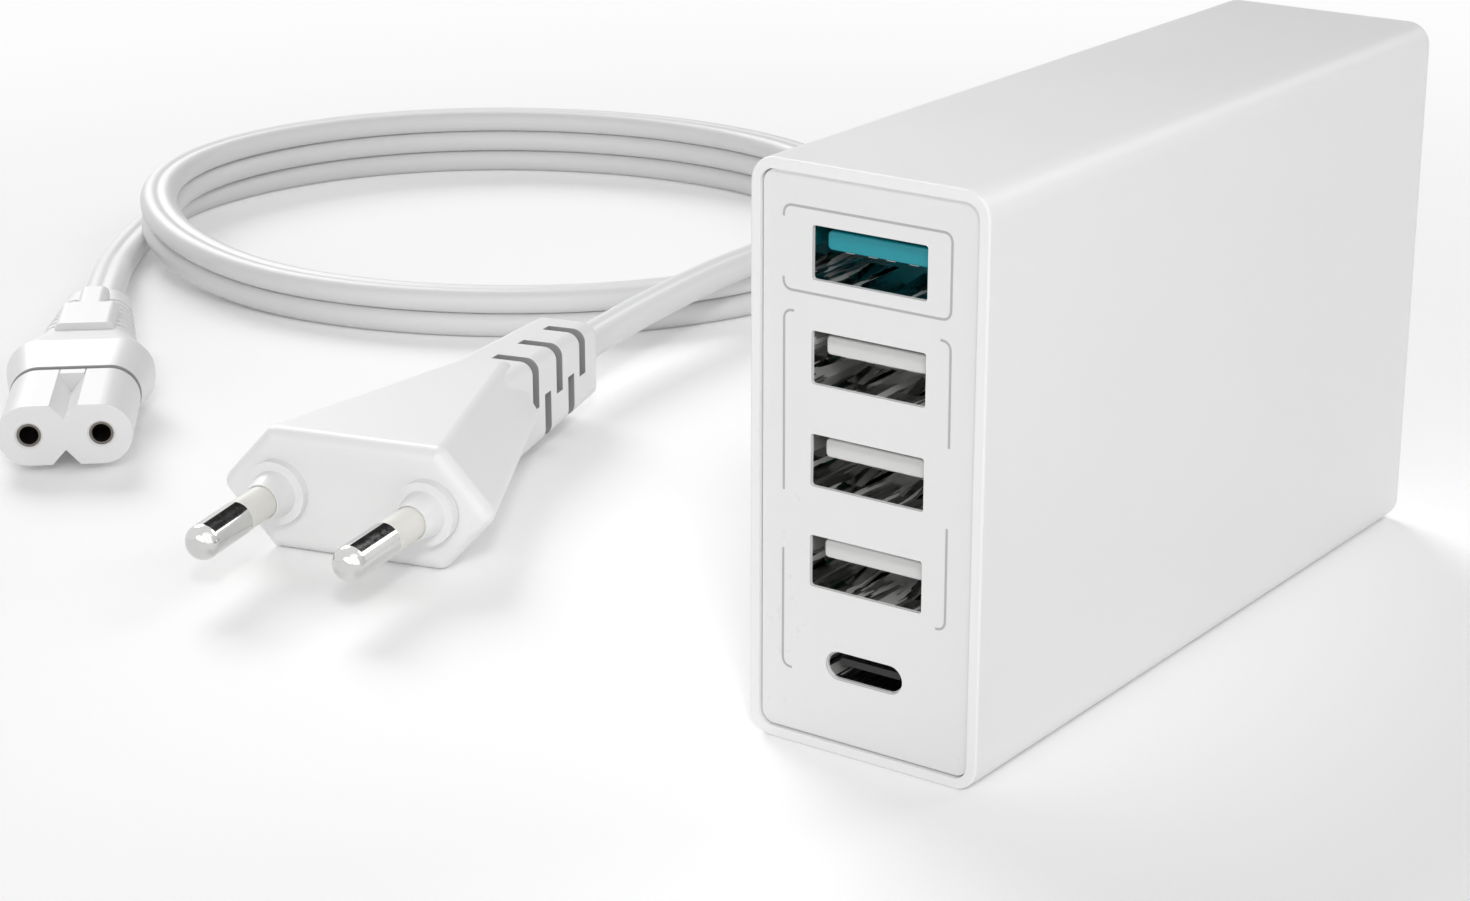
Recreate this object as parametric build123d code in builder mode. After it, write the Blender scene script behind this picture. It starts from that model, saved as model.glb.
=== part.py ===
from build123d import *
import os
from math import cos, hypot, radians, sin, tan

# A desktop charger with five sockets, and its mains lead lying unplugged beside it.
# Millimetres. Z is up, the sockets face -Y, and the origin is the centre of the charger's base.

# Housing
width = 26.0
depth = 93.0
height = 58.0
wall = 1.8
rim = 1.1
edge_radius = 2.6
front_edge_radius = 0.25
back_edge_radius = 1.0
rail_thickness = 1.0
rail_height = 2.4
rail_setback = 3.0

# Front panel
panel_thickness = 1.6
panel_recess = 0.45
panel_clearance = 0.12
cutout_margin = 0.05
cutout_radius = 0.3
socket_lip = 0.4
pocket_clearance = 0.05

# Sockets on the front, one above the other
socket_count = 4
top_socket_drop = 8.5
oval_socket_rise = 9.06

# Rectangular sockets
opening_width = 12.5
opening_height = 5.12
shell_sheet = 0.3
shell_depth = 14.0
shell_radius = 0.6
finger_width = 1.8
finger_root = 2.0
finger_crest = 5.6
finger_tip = 7.2
finger_lift = 0.6
finger_tip_lift = 0.2
finger_slit = 0.35
finger_spacing = 6.0
tongue_width = 11.1
tongue_thickness = 1.84
tongue_top_gap = 0.66
tongue_setback = 1.0
tongue_radius = 0.45
tongue_front_edge = 0.2
insulator_length = 3.4
insulator_clearance = 0.05
contact_width = 1.0
contact_thickness = 0.25
contact_places = (-3.5, -1.0, 1.0, 3.5)
contact_setback = 0.7

# Oval socket
oval_width = 8.34
oval_height = 2.56
oval_margin = 0.18
oval_depth = 8.0
oval_tongue_width = 6.69
oval_tongue_thickness = 0.7
oval_tongue_length = 4.45
oval_tongue_setback = 0.9
oval_contact_width = 0.3
oval_contact_thickness = 0.08
oval_contact_length = 3.4
oval_contact_pitch = 1.0
oval_contact_count = 6
oval_leg_length = 1.2
oval_leg_spacing = 4.0

# Circuit board
board_thickness = 1.6
board_clearance = 0.1
board_end_gap = 0.5
sheet_thickness = 0.3
sheet_margin = 1.5

# Mains inlet in the back wall
inlet_face_width = 11.6
inlet_face_height = 19.6
inlet_face_radius = 3.0
inlet_clearance = 0.1
inlet_length = 16.0
inlet_flange = 0.8
pin_spacing = 8.6
inlet_pin_diameter = 2.36
inlet_pin_clearance = 0.05
inlet_pin_reach = 10.4
inlet_fit = 0.3
inlet_recess = 12.0
inlet_tail = 2.6
inlet_leg = 1.0

# Parts on the board, in rows from the sockets to the inlet. A share is of the length that the rows have
row_margin = 0.5
output_capacitor_share = 0.141
output_capacitor_height = 11.5
output_capacitor_count = 3
inductor_height = 5.0
sink_thickness = 1.2
sink_length = 20.0
sink_height = 13.5
transistor_thickness = 4.0
transistor_width = 10.0
transistor_height = 9.0
transistor_lead = 3.0
transistor_lead_width = 0.7
transistor_lead_pitch = 2.54
screw_diameter = 3.0
screw_clearance = 0.05
screw_head_diameter = 5.4
screw_head_height = 1.6
core_height = 15.0
core_length = 22.0
core_thickness = 7.0
core_centre_leg = 5.0
core_side_leg = 2.0
core_yoke = 3.2
core_clearance = 0.1
bobbin_wall = 0.7
bobbin_flange = 0.9
bobbin_share = 0.2555
winding_margin = 0.3
bulk_capacitor_share = 0.2115
bulk_capacitor_height = 15.0
bulk_capacitor_count = 2
capacitor_edge = 0.6
choke_share = 0.2115
choke_bore = 6.4
choke_height = 6.0
choke_winding = 0.7
choke_clearance = 0.05
choke_gap = 2.4
disc_lead = 2.0
disc_lead_width = 0.6
y_capacitor_diameter = 7.6
y_capacitor_thickness = 3.6
varistor_diameter = 10.0
varistor_thickness = 3.8
fuse_diameter = 8.0
fuse_height = 7.5
bridge_thickness = 3.6
bridge_width = 11.0
bridge_height = 9.5
bridge_chamfer = 2.0
x_capacitor_thickness = 6.0
x_capacitor_width = 11.0
x_capacitor_height = 11.0
x_capacitor_edge = 0.5
chip_length = 4.9
chip_width = 3.9
optocoupler_length = 6.5
optocoupler_width = 4.6

# Chips on the solder side. A share is of the space between the board and the sheet
chip_share = 0.55
optocoupler_share = 0.8

# Flat mains cord, and the routes of its two ends to the loop
cord_width = 5.4
cord_thickness = 3.3
cord_lead_out = 13.0
cord_last_run = 24.2
corner_share = 0.45
connector_route_points = [(-169.8, 18.4, 4.2), (-180.5, 32.0, 1.75), (-189.5, 46.5, 1.75)]

# Loop of the cord: two full layers, and a third over its far half
loop_centre_x = -147.5
loop_centre_y = 79.0
loop_long_radius = 52.9
loop_short_radius = 46.4
loop_turn = 18.4
loop_slack = 0.6
loop_layer = 3.3
loop_rest_gap = 0.15

# Plug, lying flat, its pins turned this far from -Y towards +X
plug_x = -75.6
plug_y = -34.6
plug_heading = 14.5
plug_width = 35.3
plug_thickness = 14.4
plug_flat = 22.0
plug_length = 36.0
plug_back_width = 13.0
plug_back_thickness = 12.6
plug_back_flat = 5.0
plug_edge = 1.5
collar_diameter = 7.4
collar_height = 1.3
pin_base_diameter = 5.4
pin_base_height = 3.0
pin_base_taper = 11.5
plug_pin_diameter = 4.0
plug_pin_core = 2.9
plug_pin_length = 19.0
plug_pin_root = 9.0
plug_pin_base_spacing = 18.6
plug_pin_tip_spacing = 17.6
plug_pin_tip_radius = 1.5
sleeve_length = 10.0
sleeve_diameter = 3.8
sleeve_clearance = 0.05
plug_relief_root = 8.0
plug_relief_length = 21.4
plug_relief_width = 10.4
plug_relief_thickness = 12.0
plug_relief_end_width = 8.6
plug_relief_end_thickness = 9.8
plug_relief_radius = 1.6
relief_slot = 1.9
relief_slot_pitch = 7.4
relief_slot_count = 3
relief_slot_start = 1.2
relief_slot_overlap = 0.5
relief_slot_rise = 3.6
relief_web_width = 6.6
relief_web_thickness = 4.8

# Figure-of-eight connector, lying on its wide side
connector_x = -124.0
connector_y = -32.5
connector_heading = 42.0
lobe_radius = 3.75
nose_waist = 3.8
nose_notch_width = 3.4
nose_length = 15.5
seam_gap = 1.0
seam_depth = 1.2
groove_setback = 1.6
groove_ramp_length = 3.0
groove_ramp_width = 3.0
connector_hole_diameter = 2.9
connector_hole_depth = 11.0
connector_hole_edge = 0.25
contact_sleeve_bore = 2.3
contact_sleeve_length = 9.5
contact_sleeve_setback = 0.35
contact_sleeve_clearance = 0.05
shoulder_width = 16.2
shoulder_thickness = 7.6
shoulder_radius = 3.75
shoulder_length = 8.5
shoulder_edge = 0.15
connector_width = 18.6
connector_thickness = 9.4
connector_radius = 4.3
connector_taper = 7.5
connector_back_width = 13.4
connector_back_thickness = 7.6
connector_back_radius = 3.4
grip_width = 7.6
grip_thickness = 9.4
grip_length = 9.5
grip_radius = 1.0
neck_width = 3.8
neck_thickness = 8.8
neck_length = 8.5
connector_relief_length = 21.0
connector_relief_end_width = 9.0
connector_relief_end_thickness = 6.0
connector_relief_end_radius = 2.6
rib_count = 7
rib_start = 1.8
rib_pitch = 2.2
rib_gap = 0.8
rib_depth = 0.6

# Places that follow from these sizes
front_y = -depth / 2
back_y = depth / 2
panel_back_y = front_y + panel_recess + panel_thickness
inner_back_y = back_y - wall
inner_width = width - 2 * wall
inner_height = height - 2 * wall
inner_top = height - wall
inner_radius = max(edge_radius - wall, shell_sheet)
seat_radius = max(edge_radius - rim, shell_sheet)
oval_z = oval_socket_rise
socket_pitch = (height - top_socket_drop - oval_z) / socket_count
socket_heights = [height - top_socket_drop - socket_pitch * number for number in range(socket_count)]
shell_width = opening_width + 2 * shell_sheet
shell_height = opening_height + 2 * shell_sheet
oval_shell_width = oval_width + 2 * shell_sheet
oval_shell_height = oval_height + 2 * shell_sheet
socket_front_y = front_y + panel_recess + socket_lip
shell_back_y = socket_front_y + shell_depth
cavity_back_y = shell_back_y - shell_sheet
board_face_x = -shell_width / 2
board_back_x = board_face_x - board_thickness
board_front_y = panel_back_y + board_end_gap
board_rear_y = inner_back_y - board_end_gap
board_bottom = wall + board_clearance
board_top = inner_top - board_clearance
board_plane = Plane(origin=(board_face_x, 0, 0), x_dir=(0, 1, 0), z_dir=(1, 0, 0))
solder_plane = Plane(origin=(board_back_x, 0, 0), x_dir=(0, 1, 0), z_dir=(1, 0, 0))
inlet_z = height / 2
inlet_front_y = inner_back_y - inlet_length
inlet_block_height = inlet_face_height + 2 * inlet_flange
pin_tail_y = inlet_front_y - inlet_tail
row_space = pin_tail_y - shell_back_y
output_capacitor_diameter = output_capacitor_share * row_space
inductor_size = output_capacitor_diameter
bobbin_depth = bobbin_share * row_space
bulk_capacitor_diameter = bulk_capacitor_share * row_space
choke_diameter = choke_share * row_space
solder_space = board_back_x + inner_width / 2 - sheet_thickness
chip_height = chip_share * solder_space
optocoupler_height = optocoupler_share * solder_space
parts_bottom = wall + rail_height + row_margin
parts_top = inner_top - rail_height - row_margin

os.makedirs("parts", exist_ok=True)


def keep(builder, name):
    """Labels a finished piece and writes it to a STEP file of its own."""
    builder.part.label = name
    export_step(builder.part, f"parts/{name}.step")


def upright(y):
    """Upright plane at this y: X to the right, Z up, its normal towards the front."""
    return Plane.XZ.offset(-y)


def nose_outline(clearance, turn):
    """Outline of the connector's nose, grown by a clearance: a slot with a V notch in each long side."""
    radius = lobe_radius + clearance
    notch_half = nose_notch_width / 2 - clearance
    SlotOverall(pin_spacing + 2 * radius, 2 * radius, rotation=turn)
    for side_turn in (turn, turn + 180):
        Polygon(
            (0, nose_waist / 2 + clearance),
            (notch_half, radius),
            (-notch_half, radius),
            align=None,
            rotation=side_turn,
            mode=Mode.SUBTRACT,
        )


def between(first, last, share):
    """Value this share of the way from the first to the last."""
    return first + share * (last - first)


def spread(lengths, start, end):
    """Centres of items of these lengths, set between start and end with equal gaps."""
    gap = (end - start - sum(lengths)) / (len(lengths) + 1)
    centres = []
    edge = start
    for length in lengths:
        centres.append(edge + gap + length / 2)
        edge += gap + length
    return centres


# Housing: one moulded shell, open at the front, with rails for the board
rail_front_y = panel_back_y + rail_setback
rail_length = inner_back_y - rail_front_y
rail_y = (rail_front_y + inner_back_y) / 2
rail_shift = board_clearance + rail_thickness / 2
with BuildPart() as housing:
    with BuildSketch(upright(back_y)):
        with Locations((0, height / 2)):
            RectangleRounded(width, height, edge_radius)
    extrude(amount=depth)
    fillet(housing.faces().sort_by(Axis.Y)[0].edges(), front_edge_radius)
    fillet(housing.faces().sort_by(Axis.Y)[-1].edges(), back_edge_radius)
    with BuildSketch(upright(inner_back_y)):
        with Locations((0, height / 2)):
            RectangleRounded(inner_width, inner_height, inner_radius)
    extrude(amount=depth, mode=Mode.SUBTRACT)
    with BuildSketch(upright(panel_back_y)):
        with Locations((0, height / 2)):
            RectangleRounded(width - 2 * rim, height - 2 * rim, seat_radius)
    extrude(amount=depth, mode=Mode.SUBTRACT)
    with BuildSketch(upright(back_y)):
        with Locations((0, inlet_z)):
            RectangleRounded(
                inlet_face_width + 2 * inlet_clearance,
                inlet_face_height + 2 * inlet_clearance,
                inlet_face_radius,
            )
    extrude(amount=2 * wall, mode=Mode.SUBTRACT)
    for rail_x in (board_back_x - rail_shift, board_face_x + rail_shift):
        with Locations((rail_x, rail_y, wall)):
            Box(rail_thickness, rail_length, rail_height, align=(Align.CENTER, Align.CENTER, Align.MIN))
        with Locations((rail_x, rail_y, inner_top)):
            Box(rail_thickness, rail_length, rail_height, align=(Align.CENTER, Align.CENTER, Align.MAX))
keep(housing, "housing")

# Front panel, set back from the rim, with a pocket behind each opening for its socket
with BuildPart() as front_panel:
    with BuildSketch(upright(panel_back_y)):
        with Locations((0, height / 2)):
            RectangleRounded(
                width - 2 * rim - 2 * panel_clearance,
                height - 2 * rim - 2 * panel_clearance,
                seat_radius - panel_clearance,
            )
        with Locations([(0, z) for z in socket_heights]):
            RectangleRounded(
                opening_width + 2 * cutout_margin,
                opening_height + 2 * cutout_margin,
                cutout_radius,
                mode=Mode.SUBTRACT,
            )
        with Locations((0, oval_z)):
            SlotOverall(oval_width + 2 * oval_margin, oval_height + 2 * oval_margin, mode=Mode.SUBTRACT)
    extrude(amount=panel_thickness)
    with BuildSketch(upright(panel_back_y)):
        with Locations([(0, z) for z in socket_heights]):
            RectangleRounded(
                shell_width + 2 * pocket_clearance,
                shell_height + 2 * pocket_clearance,
                shell_radius + pocket_clearance,
            )
        with Locations((0, oval_z)):
            SlotOverall(oval_shell_width + 2 * pocket_clearance, oval_shell_height + 2 * pocket_clearance)
    extrude(amount=panel_thickness - socket_lip, mode=Mode.SUBTRACT)
keep(front_panel, "front_panel")


# Rectangular sockets: shell with spring fingers, tongue and contacts
def finger_planes(socket_z):
    """A plane across each spring finger: local x runs inwards from the mouth, local y into the socket."""
    planes = []
    for side in (-1, 1):
        wall_z = socket_z + side * opening_height / 2
        for x in (-finger_spacing / 2, finger_spacing / 2):
            planes.append(Plane(origin=(x, socket_front_y, wall_z), x_dir=(0, 1, 0), z_dir=(-side, 0, 0)))
        wall_x = side * opening_width / 2
        planes.append(Plane(origin=(wall_x, socket_front_y, socket_z), x_dir=(0, 1, 0), z_dir=(0, 0, side)))
    return planes


def spring_finger(plane):
    """Cuts a slot in a shell wall and bends a leaf from the slot's front end into the socket."""
    slot_start = finger_root + shell_sheet
    slot_end = finger_tip + finger_slit
    with BuildSketch(plane) as slot:
        with Locations(((slot_start + slot_end) / 2, -shell_sheet / 2)):
            Rectangle(slot_end - slot_start, 2 * shell_sheet)
    extrude(slot.sketch, amount=finger_width / 2 + finger_slit, both=True, mode=Mode.SUBTRACT)
    with BuildSketch(plane) as leaf:
        Polygon(
            (finger_root, -shell_sheet),
            (slot_start, -shell_sheet),
            (finger_crest, finger_lift - shell_sheet),
            (finger_tip, finger_tip_lift - shell_sheet),
            (finger_tip, finger_tip_lift),
            (finger_crest, finger_lift),
            (finger_root, 0),
            align=None,
        )
    extrude(leaf.sketch, amount=finger_width / 2, both=True)


tongue_front_y = socket_front_y + tongue_setback
insulator_front_y = cavity_back_y - insulator_clearance - insulator_length
for number, socket_z in enumerate(socket_heights, 1):
    tongue_top = socket_z + opening_height / 2 - tongue_top_gap
    tongue_bottom = tongue_top - tongue_thickness

    with BuildPart() as usb_a_shell:
        with BuildSketch(upright(shell_back_y)):
            with Locations((0, socket_z)):
                RectangleRounded(shell_width, shell_height, shell_radius)
        extrude(amount=shell_depth)
        with BuildSketch(upright(cavity_back_y)):
            with Locations((0, socket_z)):
                RectangleRounded(opening_width, opening_height, shell_radius - shell_sheet)
        extrude(amount=shell_depth, mode=Mode.SUBTRACT)
        for finger_plane in finger_planes(socket_z):
            spring_finger(finger_plane)
    keep(usb_a_shell, f"usb_a_shell_{number}")

    with BuildPart() as usb_a_tongue:
        with BuildSketch(upright(cavity_back_y - insulator_clearance)):
            with Locations((0, socket_z)):
                RectangleRounded(
                    opening_width - 2 * insulator_clearance,
                    opening_height - 2 * insulator_clearance,
                    shell_radius - shell_sheet,
                )
        extrude(amount=insulator_length)
        with BuildSketch(upright(insulator_front_y)):
            with Locations((0, tongue_top)):
                RectangleRounded(
                    tongue_width, tongue_thickness, tongue_radius, align=(Align.CENTER, Align.MAX)
                )
        extrude(amount=insulator_front_y - tongue_front_y)
        fillet(usb_a_tongue.faces().sort_by(Axis.Y)[0].edges(), tongue_front_edge)
    keep(usb_a_tongue, f"usb_a_tongue_{number}")

    with BuildPart() as usb_a_contacts:
        with BuildSketch(upright(insulator_front_y)):
            with Locations([(x, tongue_bottom) for x in contact_places]):
                Rectangle(contact_width, contact_thickness, align=(Align.CENTER, Align.MAX))
        extrude(amount=insulator_front_y - tongue_front_y - contact_setback)
    keep(usb_a_contacts, f"usb_a_contacts_{number}")

# Oval socket, its shell standing on the board on two legs
oval_back_y = socket_front_y + oval_depth
oval_insulator_length = oval_depth - shell_sheet - oval_tongue_setback - oval_tongue_length
oval_insulator_back_y = oval_back_y - shell_sheet - insulator_clearance
oval_insulator_front_y = oval_insulator_back_y - oval_insulator_length
oval_leg_end_x = -oval_width / 2 - shell_sheet / 2
oval_leg_places = [socket_front_y + (oval_depth + side * oval_leg_spacing) / 2 for side in (-1, 1)]
with BuildPart() as usb_c_shell:
    with BuildSketch(upright(oval_back_y)):
        with Locations((0, oval_z)):
            SlotOverall(oval_shell_width, oval_shell_height)
    extrude(amount=oval_depth)
    with Locations([(board_face_x, y, oval_z) for y in oval_leg_places]):
        Box(
            oval_leg_end_x - board_face_x,
            oval_leg_length,
            shell_sheet,
            align=(Align.MIN, Align.CENTER, Align.CENTER),
        )
    with BuildSketch(upright(oval_back_y - shell_sheet)):
        with Locations((0, oval_z)):
            SlotOverall(oval_width, oval_height)
    extrude(amount=oval_depth, mode=Mode.SUBTRACT)
keep(usb_c_shell, "usb_c_shell")

with BuildPart() as usb_c_tongue:
    with BuildSketch(upright(oval_insulator_back_y)):
        with Locations((0, oval_z)):
            SlotOverall(oval_width - 2 * insulator_clearance, oval_height - 2 * insulator_clearance)
    extrude(amount=oval_insulator_length)
    with BuildSketch(upright(oval_insulator_front_y)):
        with Locations((0, oval_z)):
            Rectangle(oval_tongue_width, oval_tongue_thickness)
    extrude(amount=oval_tongue_length)
keep(usb_c_tongue, "usb_c_tongue")

with BuildPart() as usb_c_contacts:
    with BuildSketch(upright(oval_insulator_front_y)):
        for side in (-1, 1):
            with Locations((0, oval_z + side * (oval_tongue_thickness + oval_contact_thickness) / 2)):
                with GridLocations(oval_contact_pitch, 1, oval_contact_count, 1):
                    Rectangle(oval_contact_width, oval_contact_thickness)
    extrude(amount=oval_contact_length)
keep(usb_c_contacts, "usb_c_contacts")

# Main board, standing in the housing's rails
with BuildPart() as main_board:
    with BuildSketch(board_plane):
        with Locations(((board_front_y + board_rear_y) / 2, (board_bottom + board_top) / 2)):
            Rectangle(board_rear_y - board_front_y, board_top - board_bottom)
    extrude(amount=-board_thickness)
keep(main_board, "main_board")

# Insulating sheet on the wall behind the board's solder side
with BuildPart() as insulating_sheet:
    with Locations((-inner_width / 2, (rail_front_y + inner_back_y) / 2, height / 2)):
        Box(
            sheet_thickness,
            rail_length - 2 * sheet_margin,
            inner_height - 2 * sheet_margin,
            align=(Align.MIN, Align.CENTER, Align.CENTER),
        )
keep(insulating_sheet, "insulating_sheet")

# Mains inlet: a block behind the back wall, its face in the wall's opening
pin_heights = [inlet_z + side * pin_spacing / 2 for side in (-1, 1)]
with BuildPart() as inlet_body:
    with BuildSketch(upright(inner_back_y)):
        with Locations((0, inlet_z)):
            Rectangle(-2 * board_face_x, inlet_block_height)
    extrude(amount=inlet_length)
    with BuildSketch(upright(back_y)):
        with Locations((0, inlet_z)):
            RectangleRounded(inlet_face_width, inlet_face_height, inlet_face_radius)
    extrude(amount=wall)
    with BuildSketch(upright(back_y)):
        with Locations((0, inlet_z)):
            nose_outline(inlet_fit, 90)
    extrude(amount=inlet_recess, mode=Mode.SUBTRACT)
    with BuildSketch(upright(back_y)):
        with Locations([(0, z) for z in pin_heights]):
            Circle(inlet_pin_diameter / 2 + inlet_pin_clearance)
    extrude(amount=depth, mode=Mode.SUBTRACT)
keep(inlet_body, "inlet_body")

pin_root_y = back_y - inlet_recess
pin_tip_y = pin_root_y + inlet_pin_reach
with BuildPart() as inlet_pins:
    with BuildSketch(upright(pin_tip_y)):
        with Locations([(0, z) for z in pin_heights]):
            Circle(inlet_pin_diameter / 2)
    extrude(amount=pin_tip_y - pin_tail_y)
    fillet(inlet_pins.faces().group_by(Axis.Y)[-1].edges(), inlet_pin_diameter / 4)
    with Locations([(board_face_x, pin_tail_y, z) for z in pin_heights]):
        Box(-board_face_x, inlet_leg, inlet_leg, align=(Align.MIN, Align.MIN, Align.CENTER))
keep(inlet_pins, "inlet_pins")

# Rows of parts on the board, from the sockets to the inlet
transistor_row = sink_thickness + transistor_thickness + screw_head_height
choke_outer = choke_diameter + 2 * choke_winding
input_row = max(bulk_capacitor_diameter, choke_outer)
row_lengths = [output_capacitor_diameter, transistor_row, bobbin_depth, transistor_row, input_row]
row_places = spread(row_lengths, shell_back_y, pin_tail_y)
output_y, rectifier_y, transformer_y, switch_y, input_y = row_places

# Output capacitors and inductor
output_lengths = [output_capacitor_diameter] * output_capacitor_count + [inductor_size]
output_places = spread(output_lengths, parts_bottom, parts_top)
with BuildPart() as output_capacitors:
    with BuildSketch(board_plane):
        with Locations([(output_y, z) for z in output_places[:-1]]):
            Circle(output_capacitor_diameter / 2)
    extrude(amount=output_capacitor_height)
    fillet(output_capacitors.faces().group_by(Axis.X)[-1].edges(), capacitor_edge)
keep(output_capacitors, "output_capacitors")

with BuildPart() as output_inductor:
    with BuildSketch(board_plane):
        with Locations((output_y, output_places[-1])):
            RectangleRounded(inductor_size, inductor_size, capacitor_edge)
    extrude(amount=inductor_height)
keep(output_inductor, "output_inductor")


# Power transistors, each screwed to its heat sink
def heat_sink(sink_y, screw_z, screw_x):
    """Upright plate on the board with a tapped hole."""
    with BuildSketch(board_plane) as plate:
        with Locations((sink_y, screw_z)):
            Rectangle(sink_thickness, sink_length)
    extrude(plate.sketch, amount=sink_height)
    with BuildSketch(upright(sink_y)) as hole:
        with Locations((screw_x, screw_z)):
            Circle(screw_diameter / 2 + screw_clearance)
    extrude(hole.sketch, amount=sink_thickness, both=True, mode=Mode.SUBTRACT)


def power_transistor(body_y, screw_z, screw_x):
    """Moulded body on three leads, with a hole for the screw."""
    with BuildSketch(board_plane.offset(transistor_lead)) as body:
        with Locations((body_y, screw_z)):
            Rectangle(transistor_thickness, transistor_width)
    extrude(body.sketch, amount=transistor_height)
    with BuildSketch(board_plane) as leads:
        with Locations((body_y, screw_z)):
            with GridLocations(1, transistor_lead_pitch, 1, 3):
                Rectangle(transistor_lead_width, transistor_lead_width)
    extrude(leads.sketch, amount=transistor_lead)
    with BuildSketch(upright(body_y)) as hole:
        with Locations((screw_x, screw_z)):
            Circle(screw_diameter / 2 + screw_clearance)
    extrude(hole.sketch, amount=transistor_thickness, both=True, mode=Mode.SUBTRACT)


screw_x = board_face_x + transistor_lead + transistor_height / 2
screw_z = height / 2
sink_shift = (transistor_row - sink_thickness) / 2
body_shift = sink_shift - sink_thickness / 2 - transistor_thickness / 2
head_shift = body_shift - transistor_thickness / 2
with BuildPart() as rectifier_heat_sink:
    heat_sink(rectifier_y + sink_shift, screw_z, screw_x)
keep(rectifier_heat_sink, "rectifier_heat_sink")

with BuildPart() as rectifier_transistor:
    power_transistor(rectifier_y + body_shift, screw_z, screw_x)
keep(rectifier_transistor, "rectifier_transistor")

with BuildPart() as switch_heat_sink:
    heat_sink(switch_y + sink_shift, screw_z, screw_x)
keep(switch_heat_sink, "switch_heat_sink")

with BuildPart() as switch_transistor:
    power_transistor(switch_y + body_shift, screw_z, screw_x)
keep(switch_transistor, "switch_transistor")

with BuildPart() as heat_sink_screws:
    for row_y in (rectifier_y, switch_y):
        with BuildSketch(upright(row_y + head_shift)):
            with Locations((screw_x, screw_z)):
                Circle(screw_head_diameter / 2)
        extrude(amount=screw_head_height)
        with BuildSketch(upright(row_y + head_shift)):
            with Locations((screw_x, screw_z)):
                Circle(screw_diameter / 2)
        extrude(amount=-(transistor_thickness + sink_thickness))
keep(heat_sink_screws, "heat_sink_screws")

# Transformer: closed core, bobbin round its centre leg, winding between the flanges
core_lengths = [core_length, y_capacitor_diameter]
transformer_z, y_capacitor_z = spread(core_lengths, parts_bottom, parts_top)
core_x = board_face_x + core_height / 2
window_length = core_length - 2 * core_yoke
window_width = (core_height - core_centre_leg - 2 * core_side_leg) / 2
window_shift = (core_centre_leg + window_width) / 2
bobbin_length = window_length - 2 * core_clearance
flange_width = core_centre_leg + 2 * (window_width - core_clearance)
tube_width = core_centre_leg + 2 * (core_clearance + bobbin_wall)
tube_depth = core_thickness + 2 * (core_clearance + bobbin_wall)
winding_length = bobbin_length - 2 * bobbin_flange
with BuildPart() as transformer_core:
    with BuildSketch(upright(transformer_y)):
        with Locations((core_x, transformer_z)):
            Rectangle(core_height, core_length)
        with Locations([(core_x + side * window_shift, transformer_z) for side in (-1, 1)]):
            Rectangle(window_width, window_length, mode=Mode.SUBTRACT)
    extrude(amount=core_thickness / 2, both=True)
keep(transformer_core, "transformer_core")

with BuildPart() as transformer_bobbin:
    with Locations((core_x, transformer_y, transformer_z)):
        Box(tube_width, tube_depth, bobbin_length)
    for side in (-1, 1):
        with Locations((core_x, transformer_y, transformer_z + side * (bobbin_length - bobbin_flange) / 2)):
            Box(flange_width, bobbin_depth, bobbin_flange)
    with Locations((core_x, transformer_y, transformer_z)):
        Box(
            core_centre_leg + 2 * core_clearance,
            core_thickness + 2 * core_clearance,
            core_length,
            mode=Mode.SUBTRACT,
        )
keep(transformer_bobbin, "transformer_bobbin")

with BuildPart() as transformer_winding:
    with BuildSketch(Plane.XY.offset(transformer_z)):
        with Locations((core_x, transformer_y)):
            RectangleRounded(flange_width - winding_margin, bobbin_depth - 2 * winding_margin, bobbin_wall)
            Rectangle(tube_width, tube_depth, mode=Mode.SUBTRACT)
    extrude(amount=winding_length / 2, both=True)
keep(transformer_winding, "transformer_winding")


# Disc parts stand on two leads
def disc_on_leads(disc_y, disc_z, diameter, thickness):
    """Upright disc held above the board by two straight leads."""
    disc_x = board_face_x + disc_lead + diameter / 2
    with BuildSketch(upright(disc_y)) as disc:
        with Locations((disc_x, disc_z)):
            Circle(diameter / 2)
    extrude(disc.sketch, amount=thickness / 2, both=True)
    with BuildSketch(board_plane) as leads:
        with Locations((disc_y, disc_z)):
            with GridLocations(1, diameter / 2, 1, 2):
                Rectangle(disc_lead_width, disc_lead_width)
    extrude(leads.sketch, amount=disc_lead + diameter / 2)


with BuildPart() as y_capacitor:
    disc_on_leads(transformer_y, y_capacitor_z, y_capacitor_diameter, y_capacitor_thickness)
keep(y_capacitor, "y_capacitor")

# Bulk capacitors and mains choke
input_lengths = [bulk_capacitor_diameter] * bulk_capacitor_count + [choke_outer]
input_places = spread(input_lengths, parts_bottom, parts_top)
with BuildPart() as bulk_capacitors:
    with BuildSketch(board_plane):
        with Locations([(input_y, z) for z in input_places[:-1]]):
            Circle(bulk_capacitor_diameter / 2)
    extrude(amount=bulk_capacitor_height)
    fillet(bulk_capacitors.faces().group_by(Axis.X)[-1].edges(), capacitor_edge)
keep(bulk_capacitors, "bulk_capacitors")

choke_z = input_places[-1]
choke_plane = Plane(origin=(board_face_x, input_y, choke_z), x_dir=(0, 1, 0), z_dir=(0, 0, -1))
choke_axis = Axis((board_face_x, input_y, choke_z), (1, 0, 0))
choke_ring = (choke_diameter - choke_bore) / 2
choke_middle = (choke_diameter + choke_bore) / 4
choke_rise = choke_winding + choke_height / 2
with BuildPart() as choke_core:
    with BuildSketch(choke_plane):
        with Locations((choke_middle, choke_rise)):
            Rectangle(choke_ring - 2 * choke_clearance, choke_height - 2 * choke_clearance)
    revolve(axis=choke_axis)
keep(choke_core, "choke_core")

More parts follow.
